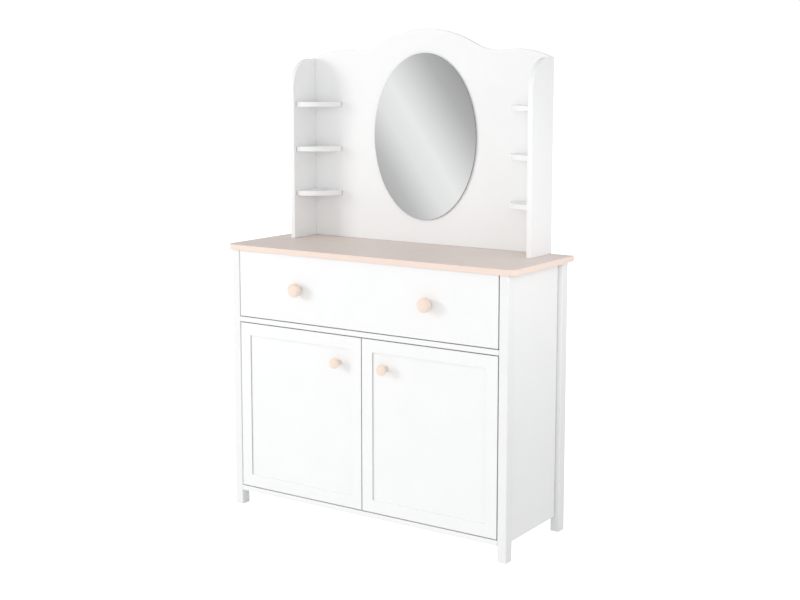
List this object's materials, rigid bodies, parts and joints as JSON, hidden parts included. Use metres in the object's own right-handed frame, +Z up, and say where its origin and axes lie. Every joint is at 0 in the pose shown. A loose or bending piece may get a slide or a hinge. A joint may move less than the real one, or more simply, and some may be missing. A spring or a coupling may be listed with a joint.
{
  "type": "dressing table",
  "caption": "Dressing table: legged cabinet with a wide drawer and double doors under a scallop-topped hutch with an oval mirror and quarter-round corner shelves.",
  "frame": {"origin": "on the floor, at the centre of the footprint (bounding box bottom centre)", "axes": "+Z up, -Y towards the front where the drawer and doors open, +X to the right as seen from the front"},
  "size_m": [1.074, 0.4068, 1.569],
  "materials": {
    "white_board": "white laminated board, satin",
    "rose_top": "rose-beige laminate, satin",
    "rose_edge": "plastic edge band, satin",
    "knob_wood": "pale lacquered wood",
    "mirror_glass": "silvered float glass",
    "back_board": "white lacquered thin fibreboard",
    "drawer_board": "white foil on board, matt",
    "runner_steel": "white epoxy-coated steel",
    "hinge_steel": "nickel-plated steel",
    "nylon": "natural nylon",
    "stop_rubber": "grey rubber",
    "mirror_tape": "foam mounting tape"
  },
  "bodies": {
    "carcass": {"left_front_leg": "white_board", "right_front_leg": "white_board", "left_rear_leg": "white_board", "right_rear_leg": "white_board", "left_side_panel": "white_board", "right_side_panel": "white_board", "bottom_panel": "white_board", "drawer_divider": "white_board", "cabinet_back_board": "back_board", "door_stop": "stop_rubber", "table_top": "rose_top", "table_top_edge_band": "rose_edge", "inner_shelf": "white_board", "left_front_shelf_pin": "hinge_steel", "left_rear_shelf_pin": "hinge_steel", "right_front_shelf_pin": "hinge_steel", "right_rear_shelf_pin": "hinge_steel", "left_cabinet_runner": "runner_steel", "right_cabinet_runner": "runner_steel", "left_lower_hinge_arm": "hinge_steel", "left_upper_hinge_arm": "hinge_steel", "right_lower_hinge_arm": "hinge_steel", "right_upper_hinge_arm": "hinge_steel", "hutch_back_panel": "white_board", "hutch_left_side": "white_board", "hutch_right_side": "white_board", "left_lower_corner_shelf": "white_board", "left_middle_corner_shelf": "white_board", "left_upper_corner_shelf": "white_board", "right_lower_corner_shelf": "white_board", "right_middle_corner_shelf": "white_board", "right_upper_corner_shelf": "white_board", "mirror": "mirror_glass", "left_mirror_tape": "mirror_tape", "right_mirror_tape": "mirror_tape"},
    "drawer": {"drawer_front": "white_board", "drawer_left_side": "drawer_board", "drawer_right_side": "drawer_board", "drawer_back": "drawer_board", "drawer_bottom": "back_board", "drawer_left_knob": "knob_wood", "drawer_right_knob": "knob_wood", "left_drawer_runner": "runner_steel", "right_drawer_runner": "runner_steel"},
    "left_door": {"left_door": "white_board", "left_door_knob": "knob_wood", "left_lower_hinge_cup": "hinge_steel", "left_upper_hinge_cup": "hinge_steel"},
    "right_door": {"right_door": "white_board", "right_door_knob": "knob_wood", "right_lower_hinge_cup": "hinge_steel", "right_upper_hinge_cup": "hinge_steel"},
    "left_lower_link": {"left_lower_hinge_link": "hinge_steel"},
    "left_upper_link": {"left_upper_hinge_link": "hinge_steel"},
    "right_lower_link": {"right_lower_hinge_link": "hinge_steel"},
    "right_upper_link": {"right_upper_hinge_link": "hinge_steel"},
    "left_cabinet_wheel": {"left_cabinet_roller": "nylon"},
    "left_drawer_wheel": {"left_drawer_roller": "nylon"},
    "right_cabinet_wheel": {"right_cabinet_roller": "nylon"},
    "right_drawer_wheel": {"right_drawer_roller": "nylon"}
  },
  "joints": [
    {"name": "drawer_slide", "type": "slide", "parent": "carcass", "child": "drawer", "axis": [0, -1, 0], "range_m": [0, 0.25]},
    {"name": "left_door_hinge", "type": "hinge", "parent": "carcass", "child": "left_door", "pos_m": [-0.4855, -0.1686, 0.343], "axis": [0, 0, -1], "range_deg": [0, 95]},
    {"name": "right_door_hinge", "type": "hinge", "parent": "carcass", "child": "right_door", "pos_m": [0.4855, -0.1686, 0.343], "axis": [0, 0, 1], "range_deg": [0, 95]},
    {"name": "left_lower_link_pivot", "type": "hinge", "parent": "left_door", "child": "left_lower_link", "pos_m": [-0.4655, -0.1466, 0.149], "axis": [0, 0, 1], "range_deg": [0, 95]},
    {"name": "left_upper_link_pivot", "type": "hinge", "parent": "left_door", "child": "left_upper_link", "pos_m": [-0.4655, -0.1466, 0.537], "axis": [0, 0, 1], "range_deg": [0, 95]},
    {"name": "right_lower_link_pivot", "type": "hinge", "parent": "right_door", "child": "right_lower_link", "pos_m": [0.4655, -0.1466, 0.149], "axis": [0, 0, -1], "range_deg": [0, 95]},
    {"name": "right_upper_link_pivot", "type": "hinge", "parent": "right_door", "child": "right_upper_link", "pos_m": [0.4655, -0.1466, 0.537], "axis": [0, 0, -1], "range_deg": [0, 95]},
    {"name": "left_cabinet_roller_spin", "type": "hinge", "parent": "carcass", "child": "left_cabinet_wheel", "pos_m": [-0.48035, -0.1336, 0.666], "axis": [1, 0, 0], "range_deg": [0, 1432.4]},
    {"name": "left_drawer_roller_spin", "type": "hinge", "parent": "drawer", "child": "left_drawer_wheel", "pos_m": [-0.48035, 0.1564, 0.6615], "axis": [1, 0, 0], "range_deg": [0, 1432.4]},
    {"name": "right_cabinet_roller_spin", "type": "hinge", "parent": "carcass", "child": "right_cabinet_wheel", "pos_m": [0.48035, -0.1336, 0.666], "axis": [1, 0, 0], "range_deg": [0, 1432.4]},
    {"name": "right_drawer_roller_spin", "type": "hinge", "parent": "drawer", "child": "right_drawer_wheel", "pos_m": [0.48035, 0.1564, 0.6615], "axis": [1, 0, 0], "range_deg": [0, 1432.4]}
  ],
  "couplings": [
    {"joint": "left_lower_link_pivot", "follows": "left_door_hinge", "ratio": 1},
    {"joint": "left_upper_link_pivot", "follows": "left_door_hinge", "ratio": 1},
    {"joint": "right_lower_link_pivot", "follows": "right_door_hinge", "ratio": 1},
    {"joint": "right_upper_link_pivot", "follows": "right_door_hinge", "ratio": 1},
    {"joint": "left_cabinet_roller_spin", "follows": "drawer_slide", "rad_per_m": 100},
    {"joint": "left_drawer_roller_spin", "follows": "drawer_slide", "rad_per_m": 100},
    {"joint": "right_cabinet_roller_spin", "follows": "drawer_slide", "rad_per_m": 100},
    {"joint": "right_drawer_roller_spin", "follows": "drawer_slide", "rad_per_m": 100}
  ]
}
